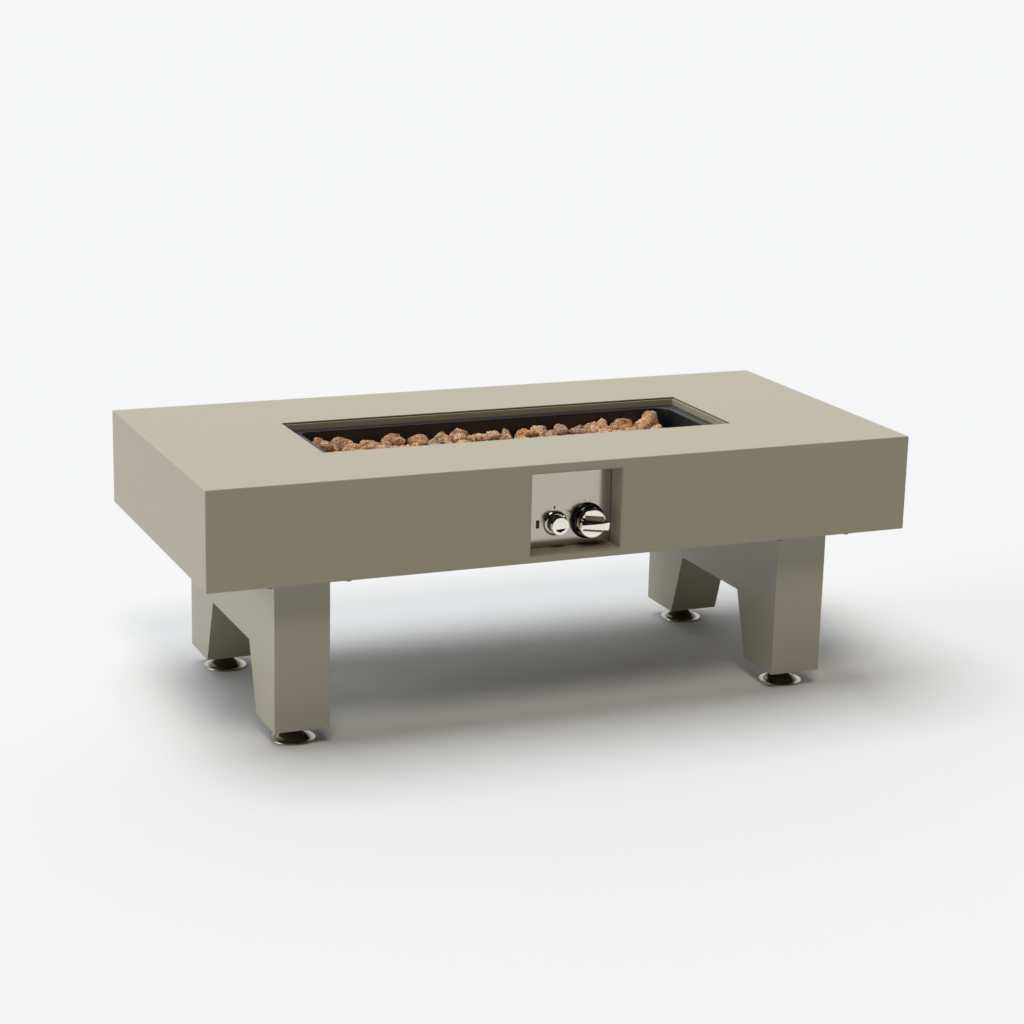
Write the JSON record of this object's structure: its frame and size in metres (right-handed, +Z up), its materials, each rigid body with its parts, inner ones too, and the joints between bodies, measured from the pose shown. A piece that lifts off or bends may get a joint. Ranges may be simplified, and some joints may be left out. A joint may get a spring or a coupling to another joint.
{
  "type": "fire pit table",
  "caption": "Low gas fire pit table: sheet-metal top with a lava-rock burner pan, arched box legs on levelling feet, and a recessed gas knob and igniter button.",
  "frame": {"origin": "on the floor under the middle of the table, at the centre of the bounding box's bottom face", "axes": "+X along the table's length, to the right seen from the controls; +Y away from the controls; +Z up. The controls face -Y"},
  "size_m": [1.1, 0.52, 0.4],
  "materials": {
    "powder_coat": "satin fine-texture powder coat in warm grey",
    "pan_enamel": "matt heat-resistant black paint",
    "stainless": "satin brushed stainless",
    "zinc_steel": "bright zinc plate",
    "chrome": "polished",
    "brass": "plain turned brass",
    "cast_alloy": "as die-cast",
    "lava": "rough and porous",
    "black_plastic": "moulded, fine grain",
    "wire_cover": "smooth silicone",
    "copper": "bright drawn copper",
    "ceramic": "glazed",
    "fibre": "woven glass fibre tape",
    "battery_wrap": "printed steel case, left plain"
  },
  "bodies": {
    "table": {"table_shell": "powder_coat", "surround_gasket": "fibre", "burner_surround": "powder_coat", "surround_nuts": "zinc_steel", "burner_pan": "pan_enamel", "burner_tube": "stainless", "burner_end_caps": "stainless", "burner_saddles": "stainless", "pan_screws": "zinc_steel", "feed_nipple": "zinc_steel", "pan_locknuts": "brass", "feed_elbow": "zinc_steel", "mixer_tube": "stainless", "gas_jet": "brass", "jet_holder": "brass", "gas_pipe": "stainless", "pipe_nuts": "brass", "outlet_elbow": "brass", "valve_body": "cast_alloy", "valve_screws": "zinc_steel", "gas_inlet": "brass", "magnet_unit": "brass", "thermocouple": "stainless", "thermocouple_lead": "copper", "sensor_bracket": "stainless", "electrode_insulator": "ceramic", "electrode_rod": "stainless", "ignition_wire": "wire_cover", "lead_clips": "black_plastic", "igniter_barrel": "black_plastic", "igniter_bezel": "chrome", "battery": "battery_wrap", "button_spring": "stainless", "valve_spring": "stainless", "control_recess": "powder_coat", "control_panel": "stainless", "panel_screws": "zinc_steel", "knob_bezel": "black_plastic", "heat_shield": "zinc_steel", "cross_rails": "zinc_steel", "rail_screws": "zinc_steel", "left_leg": "powder_coat", "right_leg": "powder_coat", "leg_bolts": "zinc_steel", "leg_weld_nuts": "zinc_steel", "foot_inserts": "zinc_steel", "lava_rocks": "lava"},
    "valve_push": {"safety_plunger": "brass"},
    "knob": {"control_knob": "chrome", "valve_spindle": "stainless"},
    "igniter_push_cap": {"igniter_button": "chrome"},
    "front_left_foot": {"front_left_pad": "chrome"},
    "front_left_screw": {"front_left_stem": "zinc_steel"},
    "front_right_foot": {"front_right_pad": "chrome"},
    "front_right_screw": {"front_right_stem": "zinc_steel"},
    "back_left_foot": {"back_left_pad": "chrome"},
    "back_left_screw": {"back_left_stem": "zinc_steel"},
    "back_right_foot": {"back_right_pad": "chrome"},
    "back_right_screw": {"back_right_stem": "zinc_steel"}
  },
  "joints": [
    {"name": "knob_push", "type": "slide", "parent": "table", "child": "valve_push", "axis": [0, 1, 0], "range_m": [0, 0.004], "stiffness_N_per_m": 2500, "springref_m": -0.002, "deforming": ["valve_spring"]},
    {"name": "knob_turn", "type": "hinge", "parent": "valve_push", "child": "knob", "pos_m": [0.0335, -0.223, 0.3015], "axis": [0, -1, 0], "range_deg": [0, 180]},
    {"name": "igniter_push", "type": "slide", "parent": "table", "child": "igniter_push_cap", "axis": [0, 1, 0], "range_m": [0, 0.004], "stiffness_N_per_m": 900, "springref_m": -0.003, "deforming": ["button_spring"]},
    {"name": "front_left_foot_height", "type": "slide", "parent": "table", "child": "front_left_foot", "axis": [0, 0, -1], "range_m": [0, 0.015]},
    {"name": "front_left_screw_turn", "type": "hinge", "parent": "front_left_foot", "child": "front_left_screw", "pos_m": [-0.399, -0.173, 0], "axis": [0, 0, 1], "range_deg": [0, 3600.5]},
    {"name": "front_right_foot_height", "type": "slide", "parent": "table", "child": "front_right_foot", "axis": [0, 0, -1], "range_m": [0, 0.015]},
    {"name": "front_right_screw_turn", "type": "hinge", "parent": "front_right_foot", "child": "front_right_screw", "pos_m": [0.399, -0.173, 0], "axis": [0, 0, 1], "range_deg": [0, 3600.5]},
    {"name": "back_left_foot_height", "type": "slide", "parent": "table", "child": "back_left_foot", "axis": [0, 0, -1], "range_m": [0, 0.015]},
    {"name": "back_left_screw_turn", "type": "hinge", "parent": "back_left_foot", "child": "back_left_screw", "pos_m": [-0.399, 0.173, 0], "axis": [0, 0, 1], "range_deg": [0, 3600.5]},
    {"name": "back_right_foot_height", "type": "slide", "parent": "table", "child": "back_right_foot", "axis": [0, 0, -1], "range_m": [0, 0.015]},
    {"name": "back_right_screw_turn", "type": "hinge", "parent": "back_right_foot", "child": "back_right_screw", "pos_m": [0.399, 0.173, 0], "axis": [0, 0, 1], "range_deg": [0, 3600.5]}
  ],
  "couplings": [
    {"joint": "front_left_screw_turn", "follows": "front_left_foot_height", "rad_per_m": 4188.8},
    {"joint": "front_right_screw_turn", "follows": "front_right_foot_height", "rad_per_m": 4188.8},
    {"joint": "back_left_screw_turn", "follows": "back_left_foot_height", "rad_per_m": 4188.8},
    {"joint": "back_right_screw_turn", "follows": "back_right_foot_height", "rad_per_m": 4188.8}
  ]
}
